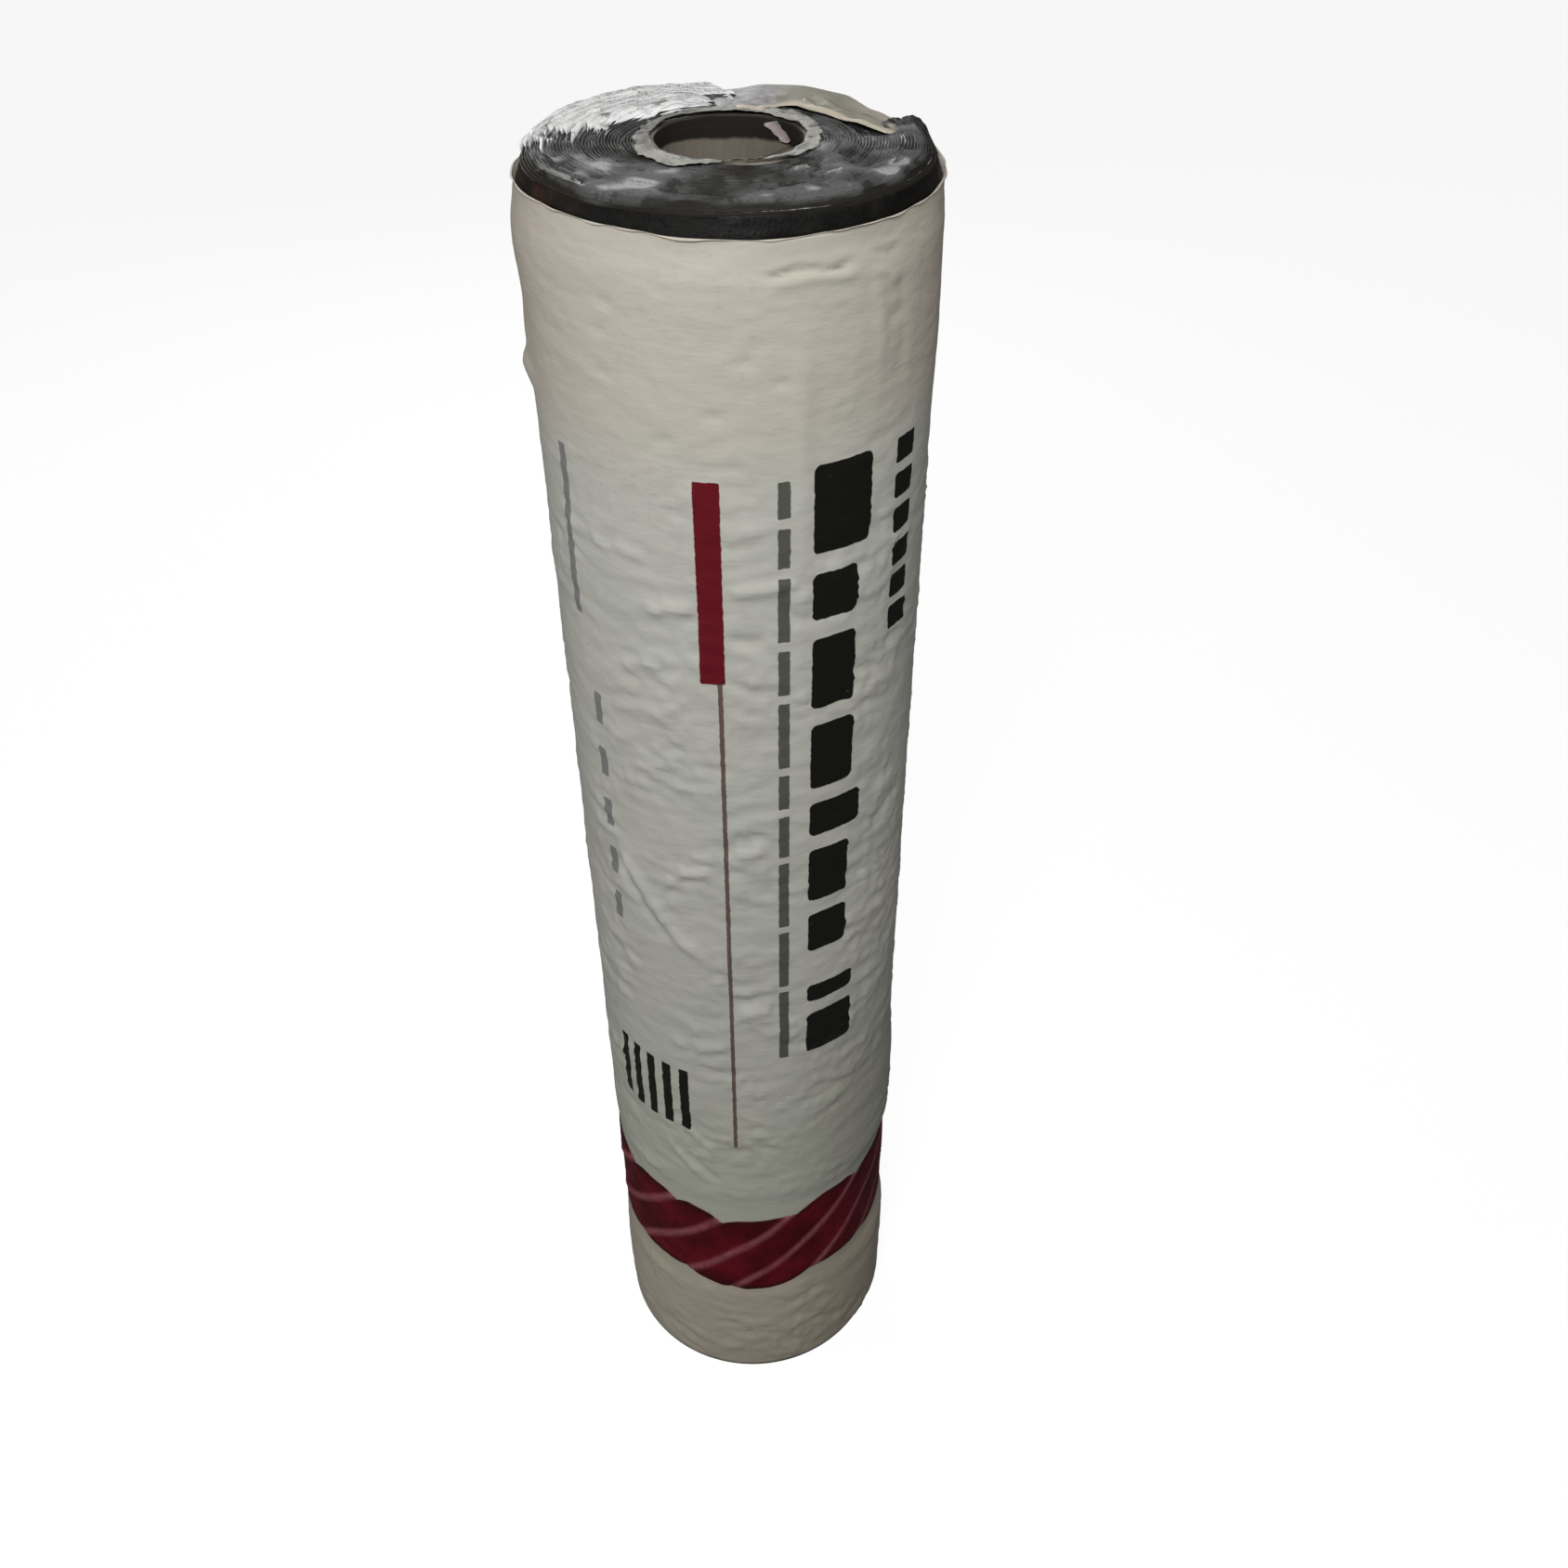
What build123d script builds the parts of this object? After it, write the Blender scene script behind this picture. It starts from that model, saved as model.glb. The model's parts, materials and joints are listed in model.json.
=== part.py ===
from build123d import *
import os
from math import sin

# A roll of bitumen membrane that stands on its end. +Z runs up the core's axis, z = 0 is the floor,
# and the view from the front looks along +Y. All sizes are in millimetres.

# Cardboard core: a 3 inch tube.
core_bore_diameter = 76.2
core_wall = 6.5

# Membrane: the sheet is as wide as the roll is long, and is wound with its release liner.
sheet_width = 1000.0
roll_diameter = 219.0
turn_pitch = 1.6
winding_clearance = 0.1

# Ends of the turns: crests and grooves, with the outermost turns slipped back towards the middle.
groove_depth = 0.9
turn_unevenness = 1.3
slipped_turns = 5
slip_depth = 2.6
floor_groove_spacing = 30.0
floor_groove_depth = 0.8

# Film sleeve: cinched under the tape, slack above and below it, and flared at its top.
film_thickness = 0.8
film_gap = 0.7
foot_slack = 2.2
body_slack = 0.6
top_flare = 1.8
flare_height = 50.0
gather_height = 14.0
hem_height = 1.0
bare_top = 14.0
cinch_margin = 6.0

# Flap: the stretch of the sleeve's top that is folded in over the end. A chord is its long free edge, and
# its front corner is cut back, so that the fold over the rim stops short of that corner.
flap_direction = 41.0
flap_chord_distance = 62.0
flap_corner_direction = -21.0
flap_corner_distance = 80.0
flap_seat = 0.3

# Tape round the sleeve near its foot. Its edges run lower at the front and back than at the sides.
tape_height = 95.0
tape_bottom = 121.0
tape_side_rise = 18.0
tape_thickness = 0.8
tape_seat = 0.3

core_radius = core_bore_diameter / 2 + core_wall
winding_radius = core_radius + winding_clearance
roll_radius = roll_diameter / 2
end_height = sheet_width
sleeve_top = end_height - bare_top
flap_bottom = end_height + flap_seat
flap_top = flap_bottom + film_thickness
cinch_bottom = tape_bottom - cinch_margin
cinch_top = tape_bottom + tape_height + tape_side_rise + cinch_margin


def make_core():
    """The core is a plain tube, as long as the sheet is wide."""
    outside = Cylinder(core_radius, sheet_width, align=(Align.CENTER, Align.CENTER, Align.MIN))
    bore = Cylinder(core_bore_diameter / 2, sheet_width, align=(Align.CENTER, Align.CENTER, Align.MIN))
    return outside - bore


def turn_drop(turn, count):
    """How far the crest of one turn lies below the end, from the core outwards."""
    uneven = turn_unevenness * (0.5 + 0.3 * sin(1.9 * turn) + 0.2 * sin(0.7 * turn + 1.0))
    into_rim = max(0, turn - (count - 1 - slipped_turns)) / slipped_turns
    return uneven + slip_depth * into_rim**2


def make_membrane_roll():
    """The wound sheet is turned from one outline: each turn has a crest and a groove on the top end."""
    count = round((roll_radius - winding_radius) / turn_pitch)
    pitch = (roll_radius - winding_radius) / count
    crests = [end_height - turn_drop(turn, count) for turn in range(count)]

    outline = [(winding_radius, 0), (winding_radius, crests[0] - groove_depth)]
    for turn, crest in enumerate(crests):
        middle = winding_radius + (turn + 0.5) * pitch
        beside = crests[min(turn + 1, count - 1)]
        outline.append((middle, crest))
        outline.append((middle + pitch / 2, min(crest, beside) - groove_depth))

    # The floor end carries the weight, so its turns are pressed level and only shallow grooves show.
    outline.append((roll_radius, 0))
    half_groove = pitch / 2
    radius = roll_radius - floor_groove_spacing
    while radius > winding_radius + floor_groove_spacing / 2:
        outline.append((radius + half_groove, 0))
        outline.append((radius, floor_groove_depth))
        outline.append((radius - half_groove, 0))
        radius -= floor_groove_spacing

    section = make_face(Polyline([(r, 0, z) for r, z in outline], close=True))
    return revolve(section, Axis.Z)


def film_line(offset):
    """The film's line from hem to top in the XZ plane, at a distance outside its inner face."""
    rest = roll_radius + film_gap + offset
    places = [
        (rest + foot_slack, hem_height),
        (rest + foot_slack, cinch_bottom - gather_height),
        (rest, cinch_bottom),
        (rest, cinch_top),
        (rest + body_slack, cinch_top + gather_height),
        (rest + body_slack, sleeve_top - flare_height),
        (rest + top_flare, sleeve_top - flare_height + gather_height),
        (rest + top_flare, flap_top),
    ]
    return [(r, 0, z) for r, z in places]


def make_film_shell(inner, outer):
    """A closed shell, turned round the roll between two lines that run from the foot to the top."""
    section = make_face(Polyline([*inner, *reversed(outer)], close=True))
    return revolve(section, Axis.Z)


def flap_side(height, bottom):
    """A block over the folded side: everything beyond the flap's chord, less its cut-back corner."""
    reach = 2 * roll_diameter
    block = Box(reach, reach, height, align=(Align.MIN, Align.CENTER, Align.MIN))
    beyond_chord = Rot(Z=flap_direction) * Pos(flap_chord_distance, 0, bottom) * block
    corner = Rot(Z=flap_corner_direction) * Pos(flap_corner_distance, 0, bottom) * block
    return beyond_chord - corner


def make_sleeve():
    """The sleeve ends level below the roll's end, apart from the side that is folded in over it."""
    shell = make_film_shell(film_line(0), film_line(film_thickness))
    raised = flap_side(flap_top - sleeve_top, sleeve_top)
    above = Pos(0, 0, sleeve_top) * Cylinder(
        roll_diameter, 2 * bare_top, align=(Align.CENTER, Align.CENTER, Align.MIN)
    )
    wall = shell - (above - raised)
    rim_radius = roll_radius + film_gap + top_flare + film_thickness / 2
    disc = Pos(0, 0, flap_bottom) * Cylinder(
        rim_radius, film_thickness, align=(Align.CENTER, Align.CENTER, Align.MIN)
    )
    return wall + (disc & raised)


def make_tape_band():
    """A ring round the cinched film, its edges cut as arcs that rise towards the roll's sides."""
    inner_radius = roll_radius + film_gap + film_thickness + tape_seat
    outer_radius = inner_radius + tape_thickness
    ring_height = cinch_top - cinch_bottom
    ring = Cylinder(outer_radius, ring_height) - Cylinder(inner_radius, ring_height)
    ring = Pos(0, 0, (cinch_bottom + cinch_top) / 2) * ring

    front = -1.2 * outer_radius
    past = outer_radius + cinch_margin
    edge = [(-past, tape_side_rise), (0, 0), (past, tape_side_rise)]
    lower = ThreePointArc(*[(x, front, tape_bottom + rise) for x, rise in edge])
    upper = ThreePointArc(*[(x, front, tape_bottom + tape_height + rise) for x, rise in edge])
    sides = [Line(lower @ 0, upper @ 0), Line(lower @ 1, upper @ 1)]
    outline = make_face([lower, upper, *sides])
    return ring & extrude(outline, -2 * front, dir=(0, 1, 0))


def main():
    os.makedirs("parts", exist_ok=True)
    export_step(make_core(), "parts/core_tube.step")
    export_step(make_membrane_roll(), "parts/membrane_roll.step")
    export_step(make_sleeve(), "parts/sleeve.step")
    export_step(make_tape_band(), "parts/tape_band.step")


main()
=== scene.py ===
import json
import math

import bmesh
import bpy
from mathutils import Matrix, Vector, noise


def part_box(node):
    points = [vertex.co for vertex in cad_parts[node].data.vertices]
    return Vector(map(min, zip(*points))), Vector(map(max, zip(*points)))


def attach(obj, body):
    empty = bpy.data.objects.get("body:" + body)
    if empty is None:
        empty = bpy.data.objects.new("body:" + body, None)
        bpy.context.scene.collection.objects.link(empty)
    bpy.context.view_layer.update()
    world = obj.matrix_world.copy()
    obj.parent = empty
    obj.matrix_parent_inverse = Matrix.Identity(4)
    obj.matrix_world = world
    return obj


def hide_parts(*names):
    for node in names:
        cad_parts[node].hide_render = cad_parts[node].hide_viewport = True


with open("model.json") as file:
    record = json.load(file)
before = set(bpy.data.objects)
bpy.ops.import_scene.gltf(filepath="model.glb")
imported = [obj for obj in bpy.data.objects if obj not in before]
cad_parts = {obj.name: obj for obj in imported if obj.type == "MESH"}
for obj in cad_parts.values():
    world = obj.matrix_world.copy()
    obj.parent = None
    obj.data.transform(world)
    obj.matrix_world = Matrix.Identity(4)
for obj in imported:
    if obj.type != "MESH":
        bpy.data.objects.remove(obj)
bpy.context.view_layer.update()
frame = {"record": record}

# The camera stands a little to the right of the roll's middle and looks down at it from just above its
# top, so that the top end shows as a narrow ellipse and the sides run together towards the floor.
camera = bpy.data.cameras.new("camera")
camera.sensor_width = 36
camera.lens = 32.76
camera_object = bpy.data.objects.new("camera", camera)
camera_object.location = (0.028, -0.770, 1.203)
camera_object.rotation_euler = (math.radians(90 - 39.21), 0, 0)
bpy.context.scene.collection.objects.link(camera_object)
bpy.context.scene.camera = camera_object
bpy.context.scene.view_settings.view_transform = "Standard"


# The floor: a plain pale sheet, much wider than the view. It is matt and keeps the roll's soft shadow.
# Seen directly it glows a little, which takes it to white without more light on the roll.
def put_in_scene(bm, name, material):
    """Makes one smooth object of a mesh, at the origin, in one material."""
    mesh = bpy.data.meshes.new(name)
    bm.to_mesh(mesh)
    bm.free()
    mesh.polygons.foreach_set("use_smooth", [True] * len(mesh.polygons))
    mesh.materials.append(material)
    made = bpy.data.objects.new(name, mesh)
    bpy.context.scene.collection.objects.link(made)
    return made


def new_material(name, plain_values):
    """A material, and its shader with the given plain values, which the sections below then finish."""
    material = bpy.data.materials.new(name)
    material.use_nodes = True
    shader = material.node_tree.nodes["Principled BSDF"]
    for place, value in plain_values.items():
        shader.inputs[place].default_value = value
    return material, shader


def add(material, kind, inputs, **settings):
    """Adds one node. An input is a plain value, another node's output, or a node for its first output."""
    node = material.node_tree.nodes.new("ShaderNode" + kind)
    for setting, value in settings.items():
        setattr(node, setting, value)
    for place, value in inputs.items():
        if isinstance(value, bpy.types.Node):
            value = value.outputs[0]
        if isinstance(value, bpy.types.NodeSocket):
            material.node_tree.links.new(value, node.inputs[place])
        else:
            node.inputs[place].default_value = value
    return node


def join(material, output, node, place):
    """Links a node, or one output of it, to an input of another node."""
    if isinstance(output, bpy.types.Node):
        output = output.outputs[0]
    material.node_tree.links.new(output, node.inputs[place])


floor_half = 6.0
floor_colour = (0.16, 0.16, 0.158, 1)
floor_glow = 0.90

floor_finish = {"Roughness": 0.9, "Specular IOR Level": 0.1, "Emission Color": (1, 1, 1, 1)}
floor_material, floor_shader = new_material("floor_sheet", {"Base Color": floor_colour, **floor_finish})
seen = add(floor_material, "LightPath", {}).outputs["Is Camera Ray"]
glow = add(floor_material, "Math", {0: seen, 1: floor_glow}, operation="MULTIPLY")
join(floor_material, glow, floor_shader, "Emission Strength")

bm = bmesh.new()
bmesh.ops.create_grid(bm, x_segments=1, y_segments=1, size=floor_half)
put_in_scene(bm, "floor", floor_material)

# The light is a plain soft studio light: one wide lamp high at the front, a weaker one from each side, one
# low at the left, one from the back, and a pale room all round, which the camera sees as white.
lamps = [
    ("key_lamp", (-0.18, -1.25, 1.85), (0, 0, 0.75), 0.6, 21.7),
    ("low_lamp", (-1.6, -1.6, 0.5), (0, 0, 0.35), 1.0, 4.0),
    ("left_lamp", (-2.4, -0.2, 1.4), (0, 0, 0.5), 1.2, 9.7),
    ("right_lamp", (1.15, -0.65, 1.9), (0, 0, 0.95), 0.7, 6.3),
    ("back_lamp", (-0.6, 2.4, 1.8), (0, 0, 0.6), 1.2, 18),
]
for lamp_name, place, target, size, power in lamps:
    lamp = bpy.data.lights.new(lamp_name, "AREA")
    lamp.shape = "DISK"
    lamp.size = size
    lamp.energy = power
    lamp_object = bpy.data.objects.new(lamp_name, lamp)
    lamp_object.location = place
    aim = Vector(target) - Vector(place)
    lamp_object.rotation_euler = aim.to_track_quat("-Z", "Y").to_euler()
    bpy.context.scene.collection.objects.link(lamp_object)

room_light = 0.135
world = bpy.data.worlds.new("room")
world.use_nodes = True
bpy.context.scene.world = world
background = world.node_tree.nodes["Background"]
background.inputs["Color"].default_value = (1, 1, 1, 1)
rays = add(world, "LightPath", {}).outputs
plain_views = {0: rays["Is Camera Ray"], 1: rays["Is Transmission Ray"]}
plain_view = add(world, "Math", plain_views, operation="MAXIMUM")
strength = add(world, "MapRange", {"Value": plain_view, "To Min": room_light, "To Max": 1.0})
join(world, strength, background, "Strength")


# The core: a spirally wound cardboard tube that the sheet was rolled up on. Its ends are level with the
# sheet's and a little crushed, and its bore is coloured brown-black for the first centimetre.
def uneven(point, scale, seed):
    """Smooth noise from about -1 to 1 at a point, with features of about the given size."""
    return 1.4 * noise.noise(Vector(point) / scale + Vector((17.3, -5.9, 3.1)) * seed)


def ease(value, low, high):
    """Goes smoothly from 0 at low to 1 at high."""
    part = min(max((value - low) / (high - low), 0), 1)
    return part * part * (3 - 2 * part)


def on_object(material):
    """The place on the object in metres, which a pattern follows."""
    return add(material, "TexCoord", {}).outputs["Object"]


def calc(material, operation, a, b=0.0, c=0.0):
    """One step of arithmetic between nodes or numbers."""
    return add(material, "Math", {0: a, 1: b, 2: c}, operation=operation)


def times(material, a, b):
    """The product of two values."""
    return calc(material, "MULTIPLY", a, b)


def between(material, value, low, high, to_low=0.0, to_high=1.0):
    """Maps a value smoothly from one range to another, without going past its ends."""
    ends = {"Value": value, "From Min": low, "From Max": high, "To Min": to_low, "To Max": to_high}
    return add(material, "MapRange", ends, interpolation_type="SMOOTHSTEP")


def mixed(material, factor, a, b):
    """A colour between a and b, each of which is three numbers or comes from another node."""
    a, b = [(*colour, 1) if isinstance(colour, tuple) else colour for colour in (a, b)]
    return add(material, "Mix", {0: factor, 6: a, 7: b}, data_type="RGBA").outputs[2]


def grain(material, place, scale, detail=3.0, roughness=0.5):
    """Noise at a place, as a value from 0 to 1."""
    inputs = {"Vector": place, "Scale": scale, "Detail": detail, "Roughness": roughness}
    return add(material, "TexNoise", inputs)


def stretched(material, place, x, y, z):
    """A place with its three directions scaled apart, so that a pattern on it is drawn out."""
    return add(material, "VectorMath", {0: place, 1: (x, y, z)}, operation="MULTIPLY")


def bumped(material, height, distance, strength=1.0, under=None):
    """A bump of the given depth in metres, on top of another where there is one."""
    inputs = {"Height": height, "Distance": distance, "Strength": strength}
    if under is not None:
        inputs["Normal"] = under
    return add(material, "Bump", inputs)


core_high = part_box("core_tube")[1]
end_height = core_high.z
core_outer = core_high.x
core_bore = next(m for m in frame["record"]["mounts"] if m["name"] == "core_bore")["dims"]["r_mm"] / 1000
core_steps = 180
core_edge = 0.0007
core_crush = 0.0006
core_front_sink = 0.0016
core_dark_band_height = 0.0102
core_rows = [0.030, 0.020, 0.012, 0.006, core_edge]

bm = bmesh.new()
core_outline = [
    (core_bore, 0),
    *[(core_bore, end_height - drop) for drop in core_rows],
    (core_bore + core_edge, end_height),
    ((2 * core_bore + core_outer) / 3, end_height),
    ((core_bore + 2 * core_outer) / 3, end_height),
    (core_outer - core_edge, end_height),
    (core_outer, end_height - core_edge),
    (core_outer, end_height - 0.006),
    (core_outer, 0),
]
ring = [bm.verts.new((radius, 0, height)) for radius, height in core_outline]
edges = [bm.edges.new(pair) for pair in zip(ring, ring[1:] + ring[:1])]
bmesh.ops.spin(
    bm, geom=ring + edges, cent=(0, 0, 0), axis=(0, 0, 1), angle=math.tau, steps=core_steps, use_merge=True
)
bmesh.ops.recalc_face_normals(bm, faces=bm.faces)
for vert in bm.verts:
    near_end = ease(vert.co.z, end_height - 0.012, end_height)
    at_front = ease(-vert.co.y, 0.005, 0.034)
    sink = near_end * (core_crush * (0.5 + 0.5 * uneven(vert.co, 0.011, 1)) + core_front_sink * at_front)
    push = core_crush * near_end * uneven(vert.co, 0.016, 2)
    outwards = Vector((vert.co.x, vert.co.y, 0)).normalized()
    vert.co += outwards * min(push, 0) - Vector((0, 0, sink))

cardboard, shader = new_material("core_cardboard", {"Roughness": 0.85, "Specular IOR Level": 0.25})
place = on_object(cardboard)
parts = add(cardboard, "SeparateXYZ", {0: place})
turn_angle = calc(cardboard, "ARCTAN2", parts.outputs[1], parts.outputs[0])
level_place = stretched(cardboard, place, 1, 1, 0)
radius = add(cardboard, "VectorMath", {0: level_place}, operation="LENGTH").outputs[1]
lap = calc(cardboard, "MULTIPLY_ADD", turn_angle, 1 / math.tau, times(cardboard, parts.outputs[2], 9))
seam = calc(cardboard, "PINGPONG", lap, 0.5)
seam_line = between(cardboard, seam, 0.0, 0.012, 1.0, 0.0)
fibres = grain(cardboard, stretched(cardboard, place, 1, 1, 0.25), 420, 4)
blotch = grain(cardboard, place, 45, 3)
board = mixed(cardboard, between(cardboard, fibres, 0.35, 0.7), (0.140, 0.121, 0.098), (0.158, 0.138, 0.113))
board = mixed(cardboard, times(cardboard, seam_line, 0.6), board, (0.11, 0.085, 0.06))
plies = add(cardboard, "TexWave", {"Vector": radius, "Scale": 330, "Distortion": 1.5}, wave_profile="SIN")
end_face = between(cardboard, parts.outputs[2], end_height - 0.0042, end_height - 0.0034)
pale_end = mixed(cardboard, plies, (0.20, 0.175, 0.135), (0.27, 0.245, 0.195))
pale_end = mixed(cardboard, between(cardboard, blotch, 0.55, 0.75), pale_end, (0.09, 0.08, 0.065))
# The core's end is coloured near black towards the back.
dark_back_end = between(cardboard, parts.outputs[1], -0.002, 0.020)
pale_end = mixed(cardboard, times(cardboard, dark_back_end, 0.96), pale_end, (0.012, 0.009, 0.006))
board = mixed(cardboard, end_face, board, pale_end)
# The bore's wall is coloured near black for about a centimetre below the end.
dark_band_edge = calc(cardboard, "MULTIPLY_ADD", blotch, 0.006, parts.outputs[2])
dark_band_low = end_height - core_dark_band_height + 0.003
bore_dark_band = between(cardboard, dark_band_edge, dark_band_low - 0.0012, dark_band_low + 0.0012)
inside = between(cardboard, radius, core_bore + 0.0002, core_bore + 0.0006, 1.0, 0.0)
bore_dark_band = times(cardboard, bore_dark_band, inside)
board = mixed(cardboard, times(cardboard, bore_dark_band, 0.97), board, (0.007, 0.005, 0.003))
join(cardboard, board, shader, "Base Color")
paper_bump = bumped(cardboard, fibres, 0.0003)
join(cardboard, bumped(cardboard, seam_line, 0.0004, under=paper_bump), shader, "Normal")

core = put_in_scene(bm, "cardboard_core", cardboard)
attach(core, "root")
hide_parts("core_tube")


# The membrane: one sheet of self-adhesive bitumen, wound in a spiral on the core. The edges of its turns
# make the end: soft, torn and smeared, slipped up or down by a millimetre or two, and lower at the rim.
coil_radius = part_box("membrane_roll")[1].x
winding_clearance = 0.0001
winding_radius = core_outer + winding_clearance
sheet_pitch = 0.0016
wound_turns = round((coil_radius - winding_radius) / sheet_pitch)
turn_pitch = (coil_radius - winding_radius) / wound_turns
steps_per_turn = 240
sheet_samples = 6
groove_drop = 0.0026
rim_turns = 7
rim_drop = 0.0046
rim_inset = 0.0034
flap_drop = 0.0065
flap_middle = math.radians(131)
bare_side_rows = 10
bare_side_height = 0.030
merge_distance = 0.000002


def spiral_reach(wound, across):
    """Radius at a place on the wound sheet. wound counts the turns out from the core, and across goes
    through the sheet's thickness. The first and last turns are wedges, so that the coil ends round."""
    inner = min(max(winding_radius + turn_pitch * (wound - 1), winding_radius), coil_radius)
    outer = min(max(winding_radius + turn_pitch * wound, winding_radius), coil_radius)
    return inner + (outer - inner) * across, (outer - inner) / turn_pitch


def on_circle(radius, angle, height):
    """A point at an angle from the front, which grows towards the roll's right."""
    return Vector((radius * math.sin(angle), -radius * math.cos(angle), height))


def towards(angle, centre, width):
    """How near an angle lies to another one: 1 at it, 0 from the width on."""
    apart = abs((angle - centre + math.pi) % math.tau - math.pi)
    return 1 - ease(apart, 0, width)


def from_table(table, value):
    """Reads a value from a table of pairs, going smoothly from each to the next."""
    for (low, low_result), (high, high_result) in zip(table, table[1:]):
        if value <= high:
            return low_result + (high_result - low_result) * ease(value, low, high)
    return table[-1][1]


def under_flap(x, y):
    """1 under the film that is tucked over the end, 0 away from it."""
    along_chord = x * math.sin(flap_middle) - y * math.cos(flap_middle)
    turned = math.degrees(math.atan2(x, -y)) % 360
    return ease(along_chord, 0.054, 0.060) * ease(turned, 113, 119) * ease(turned, 196, 190)


def flap_sink(x, y):
    """How far the flap, or the turns right below it, have sunk into the end, away from the core."""
    return flap_drop * ease(math.hypot(x, y), 0.066, 0.105)


def raised_rim(x, y):
    """1 where the outermost turns stand up beside the flap's corner, 0 elsewhere on the end."""
    angle = math.atan2(x, -y)
    return ease(math.hypot(x, y), 0.086, 0.096) * towards(angle, math.radians(108), 0.22)


def settled(point):
    """Moves a point of the coil's top in by its share, as the outermost turns lean inwards at their top."""
    radius = math.hypot(point.x, point.y)
    near_end = ease(point.z, end_height - 0.018, end_height - 0.005)
    share = ease(radius, coil_radius - 0.015, coil_radius) * near_end
    return point - Vector((point.x, point.y, 0)) * (rim_inset * share / radius)


def wound_length(wound):
    """Length of sheet from the core out to a place on the spiral."""
    return math.tau * (winding_radius * wound + turn_pitch * wound * wound / 2)


# Where the end is worn grey, painted pale with painted glints, or left rough and black: a place, a size and
# a strength.
rub_and_glint_spots = [
    (-0.055, -0.055, 0.030, 0.50),
    (0.060, -0.025, 0.030, 0.38),
    (0.010, -0.101, 0.016, 0.45),
    (-0.038, -0.076, 0.0055, 1.10),
    (-0.060, -0.053, 0.0065, 0.60),
    (-0.050, -0.064, 0.0060, 0.40),
    (-0.070, -0.036, 0.0070, 0.35),
    (-0.046, -0.091, 0.0090, 0.50),
    (-0.064, -0.090, 0.0065, 0.70),
    (-0.024, -0.058, 0.0080, 0.60),
    (0.036, -0.052, 0.0040, 1.30),
    (0.052, -0.056, 0.0070, 0.75),
    (0.060, -0.076, 0.0070, 0.75),
    (0.040, -0.081, 0.0060, 0.85),
    (0.051, -0.090, 0.0070, 0.80),
    (0.063, -0.083, 0.0045, 0.80),
    (0.025, -0.080, 0.0080, 0.35),
    (0.084, -0.041, 0.0040, 1.30),
    (0.082, -0.058, 0.0085, 1.00),
    (0.090, -0.030, 0.0080, 0.60),
    (0.048, -0.014, 0.0090, 0.70),
    (0.058, -0.006, 0.0080, 0.35),
    (0.079, 0.000, 0.0060, 0.60),
    (0.098, 0.020, 0.0080, 0.60),
    (-0.054, -0.084, 0.0130, 0.45),
    (-0.030, -0.093, 0.0090, 0.35),
    (0.032, -0.096, 0.0110, 0.60),
    (0.010, -0.062, 0.0150, -0.90),
    (-0.012, -0.084, 0.0110, -0.90),
    (-0.043, -0.033, 0.0080, -0.90),
    (-0.058, -0.014, 0.0100, -0.60),
    (0.069, -0.036, 0.0070, -0.55),
    (0.068, -0.066, 0.0045, -0.55),
    (0.076, -0.090, 0.0100, -1.10),
]


def painted(material, name):
    """A value that the mesh holds at its points."""
    return add(material, "Attribute", {}, attribute_name=name).outputs["Fac"]


def rubbing_and_glints(x, y):
    """How far the end is worn: up to 0 it is rough and black, at 0.5 smeared grey, and at 1 pale, partly
    from wear and partly as painted glints.
    """
    radius = math.hypot(x, y)
    patch = 0.45 * uneven((x, y, 0), 0.019, 4) + 0.30 * uneven((x, y, 0), 0.008, 5) - 0.10
    patch -= 0.9 * ease(radius, 0.099, 0.104) * min(1.0, 1.7 * towards(math.atan2(x, -y), 0.6, 2.0))
    patch -= ease(radius, coil_radius - 0.007, coil_radius - 0.001)
    for spot_x, spot_y, size, strength in rub_and_glint_spots:
        patch += strength * math.exp(-((x - spot_x) ** 2 + (y - spot_y) ** 2) / (2 * size * size))
    return patch


def groove_level(x, y, flat):
    """Height of the bottom of the groove between two turns, where it is smeared flat by some share."""
    radius = math.hypot(x, y)
    slip = rim_drop * ease(radius, coil_radius - rim_turns * turn_pitch, coil_radius + 0.0015)
    slip *= 1 - raised_rim(x, y)
    slip += flap_sink(x, y) * under_flap(x, y)
    depth = groove_drop * (1 - 0.72 * flat)
    return end_height - slip - depth - 0.0004 * (1 + uneven((x, y, 0), 0.030, 6))


def edge_rise(wound, x, y, flat):
    """How far the sheet's edge stands up out of the groove beside it. The turns slip in bundles."""
    length = wound_length(wound)
    slipped = 0.00135 * uneven((wound * 0.36, 9 * x, 9 * y), 1.0, 7)
    waved = 0.00045 * uneven((length, 0, 0), 0.045, 8)
    torn = 0.00030 * uneven((length, 0, 0), 0.0065, 9)
    raised = 0.0012 * raised_rim(x, y) * (1 + uneven((length, 0, 0), 0.009, 16))
    rise = 0.00135 + slipped + waved + torn + raised
    return max(0.0002, rise * (1 - 0.75 * flat))


bm = bmesh.new()
bmesh.ops.create_grid(
    bm, x_segments=steps_per_turn * (wound_turns + 1), y_segments=sheet_samples, size=0.5
)
smear_layer = bm.verts.layers.float.new("smear_and_glint")
edge_layer = bm.verts.layers.float.new("edge")
for vert in bm.verts:
    wound = (vert.co.x + 0.5) * (wound_turns + 1)
    across = vert.co.y + 0.5
    radius, width = spiral_reach(wound, across)
    spot = on_circle(radius, math.tau * wound, 0)
    crest = max(math.sin(math.pi * across), 0) ** 0.6 * width
    rub_and_glint = rubbing_and_glints(spot.x, spot.y)
    flat = ease(rub_and_glint, 0.22, 0.55)
    spot.z = groove_level(spot.x, spot.y, flat) + edge_rise(wound, spot.x, spot.y, flat) * crest
    vert[smear_layer] = rub_and_glint
    vert[edge_layer] = crest
    vert.co = spot
bmesh.ops.remove_doubles(bm, verts=bm.verts, dist=merge_distance)

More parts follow.
